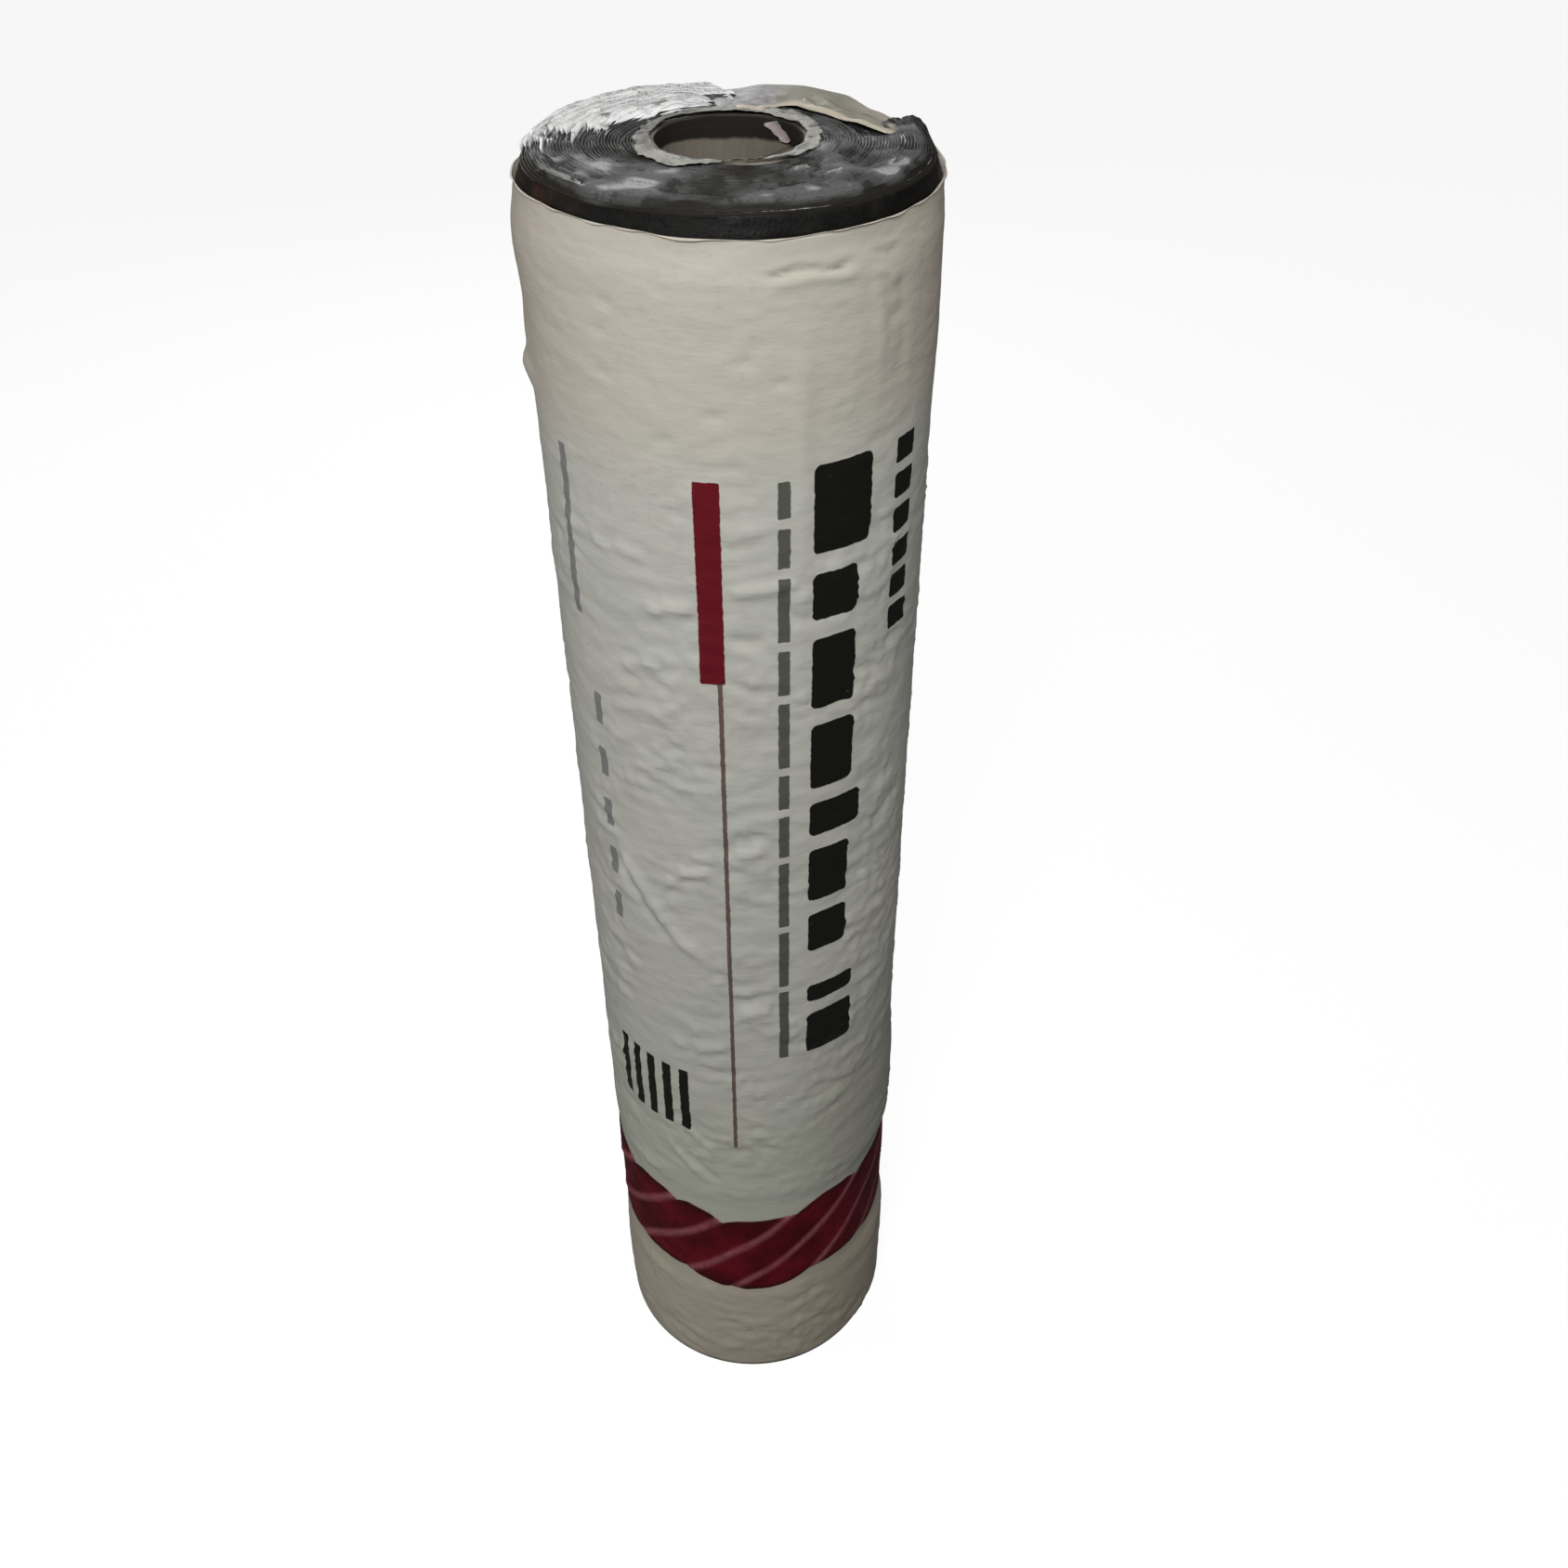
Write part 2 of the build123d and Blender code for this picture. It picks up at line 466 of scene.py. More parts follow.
# The bare side below the rim shows for a finger's width above the sleeve, so it has rows of its own.
rim_edges = [edge for edge in bm.edges if edge.is_boundary]
for drop_to, rows in ((end_height - bare_side_height, bare_side_rows), (0.0, 1)):
    made = bmesh.ops.extrude_edge_only(bm, edges=rim_edges)
    lower = [item for item in made["geom"] if isinstance(item, bmesh.types.BMVert)]
    for vert in lower:
        vert.co.z = drop_to
    rim_edges = [item for item in made["geom"] if isinstance(item, bmesh.types.BMEdge) and item.is_boundary]
    if rows > 1:
        held = set(lower)
        uprights = [e for e in bm.edges if (e.verts[0] in held) != (e.verts[1] in held)]
        bmesh.ops.subdivide_edges(bm, edges=uprights, cuts=rows - 1, use_grid_fill=True)
side_start = end_height - bare_side_height
for vert in bm.verts:
    if side_start < vert.co.z and math.hypot(vert.co.x, vert.co.y) > coil_radius - 0.00001:
        rough = 0.0005 * ease(vert.co.z, side_start, side_start + 0.006)
        rough *= ease(vert.co.z, end_height - 0.0070, end_height - 0.0095)
        inwards = rough * (0.5 + 0.5 * uneven(vert.co, 0.007, 10))
        vert.co -= Vector((vert.co.x, vert.co.y, 0)).normalized() * inwards
    vert.co = settled(vert.co)

# The floor end carries the weight, so its turns are pressed flat and only fine grooves show.
floor_groove = 0.0007
top_verts = set(bm.verts)
bmesh.ops.create_grid(bm, x_segments=steps_per_turn * (wound_turns + 1), y_segments=2, size=0.5)
for vert in bm.verts:
    if vert in top_verts:
        continue
    wound = (vert.co.x + 0.5) * (wound_turns + 1)
    across = vert.co.y + 0.5
    radius, width = spiral_reach(wound, across)
    depth = 0 if across in (0.0, 1.0) else floor_groove * width
    vert.co = on_circle(radius, math.tau * wound, depth)
bmesh.ops.remove_doubles(bm, verts=bm.verts, dist=merge_distance)
bmesh.ops.recalc_face_normals(bm, faces=bm.faces)

bitumen, shader = new_material("bitumen", {"Specular IOR Level": 0.12})
place = on_object(bitumen)
parts = add(bitumen, "SeparateXYZ", {0: place})
# This value holds how worn the end is and, where it is high, where glints are painted.
smeared = painted(bitumen, "smear_and_glint")
on_edge = painted(bitumen, "edge")
fine = grain(bitumen, place, 520, 4, 0.6)
patches = grain(bitumen, place, 62, 4, 0.6)
dark_patches = between(bitumen, patches, 0.45, 0.7)
black = mixed(bitumen, dark_patches, (0.0030, 0.0026, 0.0022), (0.0095, 0.0088, 0.0080))
roughly = calc(bitumen, "MULTIPLY_ADD", patches, 1.2, calc(bitumen, "SUBTRACT", smeared, 0.6))
dust = between(bitumen, roughly, -0.95, -0.05)
dusty = mixed(bitumen, dust, (0.0165, 0.0150, 0.0115), (0.066, 0.067, 0.065))
folds = grain(bitumen, stretched(bitumen, place, 1, 1, 0.3), 70, 5, 0.66)
shaded = times(bitumen, between(bitumen, folds, 0.53, 0.43), between(bitumen, smeared, 0.7, 0.2, 0.25, 0.75))
shaded = calc(bitumen, "MAXIMUM", shaded, between(bitumen, on_edge, 0.45, 0.0, 0.0, 0.7))
on_end = between(bitumen, parts.outputs[2], end_height - 0.0078, end_height - 0.0058)
black = mixed(bitumen, on_end, black, dusty)
# The crests of the turns are painted lighter grey: partly scuffs, partly painted glints.
scuffs_and_painted_glints = times(bitumen, between(bitumen, fine, 0.42, 0.60), between(bitumen, patches, 0.44, 0.58))
scuffs_and_painted_glints = times(bitumen, scuffs_and_painted_glints, on_edge)
scuffs_and_painted_glints = times(bitumen, scuffs_and_painted_glints, between(bitumen, smeared, -0.4, 0.3))
black = mixed(bitumen, times(bitumen, scuffs_and_painted_glints, 0.4), black, (0.12, 0.12, 0.122))
greyed = between(bitumen, smeared, 0.05, 0.60)
greyed = times(bitumen, greyed, between(bitumen, fine, 0.30, 0.62, 0.45, 0.95))
black = mixed(bitumen, greyed, black, (0.118, 0.118, 0.121))
black = mixed(bitumen, times(bitumen, shaded, on_end), black, (0.0150, 0.0140, 0.0115))
# From 0.75 up the end is painted pale: partly pale wear and dust, partly painted glints.
pale_rub_and_painted_glints = between(bitumen, smeared, 0.75, 1.25)
pale_rub_and_painted_glints = times(bitumen, pale_rub_and_painted_glints, between(bitumen, fine, 0.30, 0.55, 0.55, 0.95))
black = mixed(bitumen, pale_rub_and_painted_glints, black, (0.38, 0.37, 0.375))
left_side = between(bitumen, parts.outputs[0], -0.05, -0.10)
rusty = times(bitumen, left_side, between(bitumen, patches, 0.40, 0.60))
below_end = between(bitumen, parts.outputs[2], end_height - 0.004, end_height - 0.006)
rusty = times(bitumen, times(bitumen, rusty, below_end), 0.7)
black = mixed(bitumen, rusty, black, (0.040, 0.017, 0.010))
join(bitumen, black, shader, "Base Color")
join(bitumen, between(bitumen, patches, 0.35, 0.7, 0.42, 0.68), shader, "Roughness")
tar_bump = bumped(bitumen, fine, 0.0005)
join(bitumen, bumped(bitumen, patches, 0.0012, 0.7, under=tar_bump), shader, "Normal")

coil = put_in_scene(bm, "membrane_coil", bitumen)
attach(coil, "root")
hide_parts("membrane_roll")


# The release liner: a strip of pale siliconed paper wound in between the turns. Its edge stands up out of
# the bitumen where it is loose, and is torn, folded and stuck down elsewhere.
liner_steps = 180
liner_thickness = 0.00014
liner_root = 0.0010

# Where the liner stands clear: the middle of each arc in degrees from the front, half its length, its
# radius, how many turns it spans either way, and how high it stands.
liner_arcs = [
    (-66, 27, 0.1010, 0.0022, 0.0027),
    (-58, 20, 0.0840, 0.0015, 0.0013),
    (-76, 16, 0.0930, 0.0018, 0.0022),
    (-90, 12, 0.0780, 0.0016, 0.0018),
    (35, 5, 0.0630, 0.0022, 0.0017),
    (43, 7, 0.0770, 0.0016, 0.0010),
    (64, 4, 0.0930, 0.0024, 0.0022),
    (80, 14, 0.0880, 0.0016, 0.0012),
    (76, 12, 0.0560, 0.0018, 0.0010),
    (-27, 6, 0.0850, 0.0018, 0.0012),
]

# At the back left the liner is torn loose in a wide mass of pale paper, which its material paints near white
# as a painted highlight. This is its inner edge there.
white_edge = [
    (-180, 0.062),
    (-150, 0.060),
    (-120, 0.063),
    (-104, 0.068),
    (-90, 0.090),
    (-78, 0.104),
    (-70, 0.130),
]


def torn_back(x, y):
    """1 in the white mass of loose liner, 0 elsewhere."""
    angle = math.degrees(math.atan2(x, -y))
    if angle > 0:
        return 0
    ragged = 0.006 * uneven((x, y, 0), 0.012, 17)
    inner = from_table(white_edge, angle) + ragged
    dark_gap = math.exp(-(((x + 0.009) / 0.008) ** 2) - ((y - 0.076) / 0.012) ** 2)
    return ease(math.hypot(x, y), inner - 0.003, inner + 0.008) * (1 - 0.9 * dark_gap)


def liner_stand(wound, x, y):
    """How far the liner stands above the turns beside it. It is below them where it is torn off."""
    length = wound_length(wound)
    angle = math.atan2(x, -y)
    radius = math.hypot(x, y)
    loose = 0.9 * uneven((length, 0, 0), 0.075, 11) + 0.55 * uneven((x, y, 0), 0.018, 12)
    around = 0.35 * towards(angle, math.radians(-115), 1.2) + 0.25 * towards(angle, math.radians(95), 0.9)
    around -= 3.6 * towards(angle, math.radians(5), 1.6) * ease(radius, 0.048, 0.060)
    at_core = 1.2 * (1 - ease(wound, 1.5, 4.0))
    tear = 0.30 * uneven((length, 0, 0), 0.0042, 13)
    stand = 0.0010 * (loose - 1.0 + around + at_core + tear) - 0.0003
    for middle, reach, arc_radius, spread, height in liner_arcs:
        on_arc = 1 - ease(abs(radius - arc_radius), 0.5 * spread, spread)
        if on_arc > 0:
            on_arc *= min(1, 2.2 * towards(angle, math.radians(middle), math.radians(reach) * 1.4))
            stand += on_arc * max(0, height * (0.95 + 0.35 * tear + 0.25 * loose) - stand)
    mass = torn_back(x, y)
    stand += mass * max(0, 0.0032 + 0.0009 * loose + 0.0007 * tear - stand)
    under_rim = ease(radius, coil_radius - 0.007, coil_radius - 0.003) * (1 - 0.9 * mass)
    stand = min(stand, 0.0044) * (1 - under_rim) - 0.0012 * under_rim
    hidden = under_flap(x, y)
    return stand * (1 - hidden) - 0.0010 * hidden


bm = bmesh.new()
bmesh.ops.create_grid(bm, x_segments=liner_steps * wound_turns, y_segments=2, size=0.5)
for vert in bm.verts:
    wound = (vert.co.x + 0.5) * (wound_turns - 1) + 0.5
    part = vert.co.y + 0.5
    radius, width = spiral_reach(wound, 1.0)
    spot = on_circle(radius, math.tau * wound, 0)
    flat = ease(rubbing_and_glints(spot.x, spot.y), 0.22, 0.55)
    level = groove_level(spot.x, spot.y, flat)
    root = level - liner_root
    turn_top = level + edge_rise(wound, spot.x, spot.y, flat)
    stand = liner_stand(wound, spot.x, spot.y)
    top = max(turn_top + stand, root + 0.0004)
    lean = max(stand, 0) * (0.55 + 0.9 * uneven((wound_length(wound), 0, 0), 0.030, 14)) * part
    wave = 0.00035 * uneven((wound_length(wound), 0, 0), 0.012, 15) * part
    leaned = min(radius + lean + wave, coil_radius + 0.0004)
    vert.co = settled(on_circle(leaned, math.tau * wound, root + (top - root) * part))
bmesh.ops.solidify(bm, geom=bm.faces, thickness=liner_thickness)
bmesh.ops.recalc_face_normals(bm, faces=bm.faces)

paper, shader = new_material("release_paper", {"Roughness": 0.5})
place = on_object(paper)
spots = grain(paper, place, 95, 4, 0.65)
fine = grain(paper, place, 700, 3)
sheet = mixed(paper, between(paper, fine, 0.35, 0.65), (0.24, 0.24, 0.23), (0.40, 0.40, 0.385))
sheet = mixed(paper, between(paper, spots, 0.50, 0.66), sheet, (0.07, 0.07, 0.068))
parts = add(paper, "SeparateXYZ", {0: place})
# Painted highlight: towards the back left the paper is painted near white.
backwards = calc(paper, "SUBTRACT", parts.outputs[1], parts.outputs[0])
painted_highlight_back_left = times(paper, between(paper, backwards, 0.055, 0.085), between(paper, spots, 0.70, 0.58, 0.35, 0.95))
sheet = mixed(paper, painted_highlight_back_left, sheet, (0.88, 0.88, 0.87))
join(paper, sheet, shader, "Base Color")
join(paper, bumped(paper, fine, 0.0002), shader, "Normal")

liner = put_in_scene(bm, "release_liner", paper)
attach(liner, "root")


# The torn start of the liner: pale paper that lies crumpled round the core, over its wall and the first
# turns. It was torn off by hand, so its outer edge is ragged, and a scrap of it hangs into the bore.
collar_steps = 320
collar_rings = 8
collar_thickness = 0.00016
collar_reach = [
    (-180, 0.0530),
    (-135, 0.0495),
    (-100, 0.0465),
    (-75, 0.0490),
    (-45, 0.0560),
    (-25, 0.0600),
    (-12, 0.0515),
    (0, 0.0445),
    (28, 0.0455),
    (48, 0.0500),
    (68, 0.0490),
    (90, 0.0470),
    (112, 0.0480),
    (138, 0.0540),
    (180, 0.0530),
]
collar_soil = [
    (-180, 0.15),
    (-155, 0.40),
    (-135, 1.10),
    (-95, 1.10),
    (-75, 0.45),
    (-45, 0.10),
    (-25, 0.15),
    (0, 0.40),
    (35, 0.35),
    (60, 0.05),
    (110, 0.00),
    (150, 0.05),
    (180, 0.15),
]

bm = bmesh.new()
bmesh.ops.create_grid(bm, x_segments=collar_steps, y_segments=collar_rings, size=0.5)
soil_layer = bm.verts.layers.float.new("darkening")
for vert in bm.verts:
    angle = math.tau * vert.co.x
    part = vert.co.y + 0.5
    around = (math.sin(angle) * 0.045, -math.cos(angle) * 0.045, 0)
    at_back = ease(abs(angle), math.radians(105), math.radians(140))
    at_back *= 1 - 0.95 * towards(angle, math.radians(138), 0.42)
    inner = 0.0398 + 0.0056 * at_back + 0.0008 * uneven(around, 0.006, 50)
    outer = from_table(collar_reach, math.degrees(angle))
    outer += 0.0013 * uneven(around, 0.010, 51) + 0.0010 * uneven(around, 0.0035, 52)
    radius = inner + (max(outer, inner + 0.0015) - inner) * part
    spot = on_circle(radius, angle, 0)
    crumpled = 0.0010 * uneven(spot, 0.0080, 53) + 0.0005 * uneven(spot, 0.0035, 54)
    lie = end_height + 0.0007 + crumpled * (0.4 + 0.6 * part)
    lie += 0.0010 * part * towards(angle, math.radians(110), 1.2)
    lie -= core_front_sink * ease(math.cos(angle), 0.1, 0.8) * (1 - part)
    spot.z = max(lie, end_height - 0.0014)
    vert.co = spot
bmesh.ops.remove_doubles(bm, verts=bm.verts, dist=merge_distance)
bmesh.ops.solidify(bm, geom=bm.faces, thickness=collar_thickness)
bmesh.ops.recalc_face_normals(bm, faces=bm.faces)
for vert in bm.verts:
    angle = math.degrees(math.atan2(vert.co.x, -vert.co.y))
    vert[soil_layer] = from_table(collar_soil, angle) + 0.35 * uneven(vert.co, 0.009, 57)

torn_paper, shader = new_material("torn_paper", {"Roughness": 0.55, "Specular IOR Level": 0.3})
place = on_object(torn_paper)
spots = grain(torn_paper, place, 120, 4, 0.65)
fine = grain(torn_paper, place, 800, 3)
sheet = mixed(torn_paper, between(torn_paper, fine, 0.35, 0.65), (0.25, 0.25, 0.215), (0.385, 0.375, 0.33))
sheet = mixed(torn_paper, between(torn_paper, spots, 0.52, 0.66), sheet, (0.085, 0.080, 0.070))
darkening = painted(torn_paper, "darkening")
sheet = mixed(torn_paper, between(torn_paper, darkening, 0.0, 1.1, 0.0, 0.92), sheet, (0.034, 0.033, 0.027))
join(torn_paper, sheet, shader, "Base Color")
join(torn_paper, bumped(torn_paper, fine, 0.0002), shader, "Normal")

collar = put_in_scene(bm, "torn_liner", torn_paper)
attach(collar, "root")

scrap_path = [(145, -0.0012), (142, -0.0026), (138, -0.0042), (133, -0.0062), (128, -0.0080), (125, -0.0090)]
scrap_width = 0.0095
scrap_slope = 0.27

bm = bmesh.new()
bmesh.ops.create_grid(bm, x_segments=30, y_segments=8, size=0.5)
for vert in bm.verts:
    along = (vert.co.x + 0.5) * (len(scrap_path) - 1)
    step = min(int(along), len(scrap_path) - 2)
    (angle_a, drop_a), (angle_b, drop_b) = scrap_path[step : step + 2]
    part = along - step
    width = scrap_width * (0.85 + 0.25 * uneven((along, vert.co.y, 0), 1.2, 55)) * ease(along, 5.4, 4.2)
    angle = math.radians(angle_a + (angle_b - angle_a) * part) - vert.co.y * width / core_bore
    height = end_height + drop_a + (drop_b - drop_a) * part + scrap_slope * vert.co.y * width
    curl = 0.0010 + 0.0014 * (2 * vert.co.y) ** 2 * (0.5 + 0.5 * uneven((along, 0, 0), 1.0, 56))
    vert.co = on_circle(core_bore - curl, angle, height)
bmesh.ops.solidify(bm, geom=bm.faces, thickness=collar_thickness)
bmesh.ops.recalc_face_normals(bm, faces=bm.faces)

scrap_paper = new_material("scrap_paper", {"Base Color": (0.34, 0.285, 0.28, 1), "Roughness": 0.5})[0]
scrap = put_in_scene(bm, "liner_scrap", scrap_paper)
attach(scrap, "root")


# The sleeve: one length of off-white printed polythene film, wrapped round the roll and shrunk on loosely.
# It is puckered all over, drawn in under the tape, rolled into a thin lip at its top edge, and tucked over
# the end at the back right, where its spare width stands in pleats.
film_columns = 240
film_rows = 300
collar_rows = 36
lining_rows = 12
film_thickness = 0.00022
film_unroll = 0.112
hem = 0.0005
sleeve_top = 0.986
row_bunching = 1.25
film_stations = [
    (0.000, 0.1126),
    (0.050, 0.1134),
    (0.105, 0.1124),
    (0.128, 0.1109),
    (0.232, 0.1109),
    (0.258, 0.1118),
    (0.450, 0.1116),
    (0.860, 0.1116),
    (0.935, 0.1120),
    (0.962, 0.1122),
    (0.984, 0.1106),
    (1.000, 0.1104),
]

# Creases of the film on its front: points along each one, as the distance round the roll to the right of the
# front and the height, then how wide it is, how deep it is pressed in and how dark its line is painted, as
# painted shade.
film_creases = [
    ([(0.010, 0.9706), (0.034, 0.9720), (0.050, 0.9706), (0.070, 0.9716)], 0.0026, -0.0012, 0.9),
    ([(0.076, 0.9730), (0.086, 0.9712), (0.098, 0.9716)], 0.0030, -0.0008, 0.35),
    ([(0.018, 0.9655), (0.046, 0.9672), (0.074, 0.9630)], 0.0048, 0.0011, 0.0),
    ([(0.074, 0.9640), (0.088, 0.9610), (0.096, 0.9520)], 0.0050, 0.0009, 0.0),
    ([(-0.053, 0.7815), (-0.036, 0.7845), (-0.020, 0.7850)], 0.0060, 0.0022, 0.0),
    ([(-0.004, 0.7980), (0.018, 0.7990), (0.040, 0.8015)], 0.0060, 0.0024, 0.0),
    ([(-0.070, 0.8165), (-0.047, 0.8140)], 0.0050, 0.0017, 0.0),
    ([(-0.056, 0.7480), (-0.042, 0.7420)], 0.0050, 0.0019, 0.0),
    ([(-0.052, 0.5750), (-0.034, 0.5880), (-0.016, 0.5940)], 0.0060, 0.0026, 0.0),
    ([(-0.004, 0.6080), (0.017, 0.6110)], 0.0055, 0.0024, 0.0),
    ([(-0.003, 0.4640), (0.021, 0.4640)], 0.0055, 0.0022, 0.0),
    ([(-0.038, 0.4160), (-0.010, 0.4300)], 0.0060, 0.0022, 0.0),
    ([(-0.004, 0.7660), (0.019, 0.7650)], 0.0050, -0.0020, 0.1),
    ([(-0.028, 0.7790), (-0.018, 0.7790)], 0.0045, -0.0020, 0.1),
    ([(-0.004, 0.6230), (0.020, 0.6240)], 0.0050, -0.0022, 0.1),
    ([(-0.008, 0.4750), (0.019, 0.4760)], 0.0050, -0.0020, 0.1),
    ([(-0.094, 0.6000), (-0.070, 0.5660), (-0.040, 0.5250), (-0.018, 0.5080)], 0.0080, 0.0024, 0.0),
    ([(-0.096, 0.5860), (-0.072, 0.5500), (-0.048, 0.5180)], 0.0060, -0.0017, 0.0),
    ([(-0.066, 0.3050), (-0.036, 0.2700)], 0.0050, 0.0022, 0.0),
    ([(-0.052, 0.2980), (-0.020, 0.2640)], 0.0050, -0.0019, 0.0),
    ([(-0.050, 0.3300), (-0.022, 0.3020)], 0.0045, 0.0019, 0.0),
    ([(0.080, 0.9640), (0.083, 0.9400), (0.085, 0.9000)], 0.0070, 0.0006, 0.0),
    ([(0.097, 0.9620), (0.101, 0.9300), (0.100, 0.8900)], 0.0080, -0.0005, 0.0),
    ([(0.039, 0.9600), (0.038, 0.8900), (0.038, 0.8000), (0.040, 0.7000)], 0.0100, 0.0010, 0.0),
]

# Bulges of the film at the roll's left: a height, how far each reaches up and round, and how far out.
left_bulges = [
    (0.8860, 0.0070, 0.35, 0.0046),
    (0.9050, 0.0170, 0.35, 0.0018),
    (0.9550, 0.0220, 0.90, 0.0022),
]

# Dimples of the film, as where each one is and how large.
film_dimples = [
    (-0.007, 0.899, 0.0050),
    (-0.034, 0.884, 0.0050),
    (-0.061, 0.950, 0.0050),
    (-0.066, 0.935, 0.0045),
    (-0.067, 0.914, 0.0045),
    (0.094, 0.936, 0.0050),
    (0.027, 0.915, 0.0045),
    (0.010, 0.926, 0.0040),
]


def film_rest_radius(height):
    """Radius of the film at a height, before it is puckered."""
    return from_table(film_stations, height)


def crease(value, sharpness):
    """A narrow ridge along the line where a noise value passes through 0."""
    return max(0.0, 1 - sharpness * abs(value)) ** 1.5


def off_line(place, height, points):
    """Distance of a place on the film from a line of points, all as distance round the roll and height,
    and where along the line that is: 0 at either of its ends and 1 in its middle."""
    nearest, inside = 1.0, 0.0
    for step, ((low_s, low_z), (high_s, high_z)) in enumerate(zip(points, points[1:])):
        run_s, run_z = high_s - low_s, high_z - low_z
        part = ((place - low_s) * run_s + (height - low_z) * run_z) / (run_s * run_s + run_z * run_z)
        part = min(max(part, 0), 1)
        gap = math.hypot(place - low_s - run_s * part, height - low_z - run_z * part)
        if gap < nearest:
            nearest, inside = gap, (step + part) / (len(points) - 1)
    return nearest, 1 - abs(2 * inside - 1)


def pressed_lines(place, height):
    """Relief of the creases and dimples at a place, and how much painted shade darkens the film there."""
    relief = 0.0
    crease_shade = 0.0
    for points, width, depth, darkening in film_creases:
        low = min(z for s, z in points) - 2 * width
        high = max(z for s, z in points) + 2 * width
        if low < height < high:
            wandered = height + 0.0012 * uneven((place, 0, height), 0.012, 27)
            gap, inside = off_line(place, wandered, points)
            near = math.exp(-((gap / (0.6 * width)) ** 2)) * ease(inside, 0.0, 0.45)
            relief += depth * near
            crease_shade = max(crease_shade, darkening * near * near * (0.7 + 0.5 * uneven((place, 0, 0), 0.009, 28)))
    for dimple_s, dimple_z, size in film_dimples:
        if abs(height - dimple_z) < 2 * size:
            apart = math.hypot((place - dimple_s) * 0.55, height - dimple_z)
            relief -= 0.0011 * math.exp(-((apart / (0.6 * size)) ** 2))
    return relief, crease_shade


def film_height(along):
    """Height of a row of the film. The rows bunch up towards the top, where the creases are finer."""
    return hem + (sleeve_top - hem) * (1 - (1 - along) ** row_bunching)


def pucker(angle, height):
    """How far the film stands out from its rest radius at a place."""
    x, y = math.sin(angle) * film_unroll, -math.cos(angle) * film_unroll
    slant = height + 0.010 * uneven((x, y, height), 0.050, 20)
    billow = 0.00060 * uneven((x, y, height), 0.055, 21)
    across = uneven((x * 0.30, y * 0.30, slant), 0.0095, 22)
    fold = uneven((x * 0.38, y * 0.38, slant), 0.0075, 23)
    small = uneven((x * 0.6, y * 0.6, slant), 0.0042, 24)
    patchy = ease(uneven((x, y, height), 0.045, 25), -0.35, 0.45)
    busy = 0.22 + 0.78 * ease(height, 0.90, 0.80) * (0.22 + 0.95 * patchy)
    drawn_in = ease(height, 0.255, 0.235) * ease(height, 0.108, 0.124)
    busy *= (1 - 0.8 * drawn_in) * (1 - 0.5 * ease(abs(math.sin(angle)), 0.80, 1.0))
    relief = billow * (1 - drawn_in)
    relief += busy * (0.00105 * across + 0.00125 * crease(fold, 2.6) + 0.00030 * small)
    relief += pressed_lines(angle * film_unroll, height)[0]
    for middle, reach, spread, out in left_bulges:
        at_left = towards(angle, math.radians(-86), spread)
        relief += out * math.exp(-(((height - middle) / reach) ** 2)) * at_left
    slack = ease(height, 0.36, 0.31) * (1 - drawn_in)
    relief += 0.0028 * slack * towards(angle, math.radians(84), 1.1)
    return relief * ease(height, 0.0, 0.006) * ease(height, sleeve_top + 0.001, sleeve_top - 0.008)


def top_dip(angle):
    """How much lower the film's top edge hangs at the front than at the back."""
    return 0.0032 * towards(angle, math.radians(22), 1.3)


def film_side(angle, height):
    """A point of the film on the roll's side."""
    least = coil_radius + 0.0005
    hung = height - top_dip(angle) * ease(height, 0.93, sleeve_top)
    return on_circle(max(film_rest_radius(height) + pucker(angle, height), least), angle, hung)


lip_rise = 0.0006
lip_radius = 0.00045
lip_turn = math.radians(170)

# The flap stands up at the rim before it turns in: by how much, at angles from the front.
flap_rises = [
    (114, 0.0050),
    (124, 0.0022),
    (134, 0.0036),
    (146, 0.0084),
    (160, 0.0100),
    (170, 0.0094),
    (182, 0.0064),
    (194, 0.0040),
]
fold_radius = 0.0042
flap_level = 0.0004
flap_chord = 0.0626
flap_core_reach = 0.0475


def flap_free_edge(turned):
    """Where the film that goes over the rim at one angle ends on the roll's end: an angle and a radius.
    At its right the flap slews forwards into a corner, and at its left it reaches in to the core."""
    skew = math.radians(28) * (1 - ease(turned, math.radians(116), math.radians(150)))
    target = turned - skew
    straight = flap_chord / math.cos(target - flap_middle)
    at_core = ease(target, math.radians(148), math.radians(163))
    return target, straight + (flap_core_reach - straight) * at_core


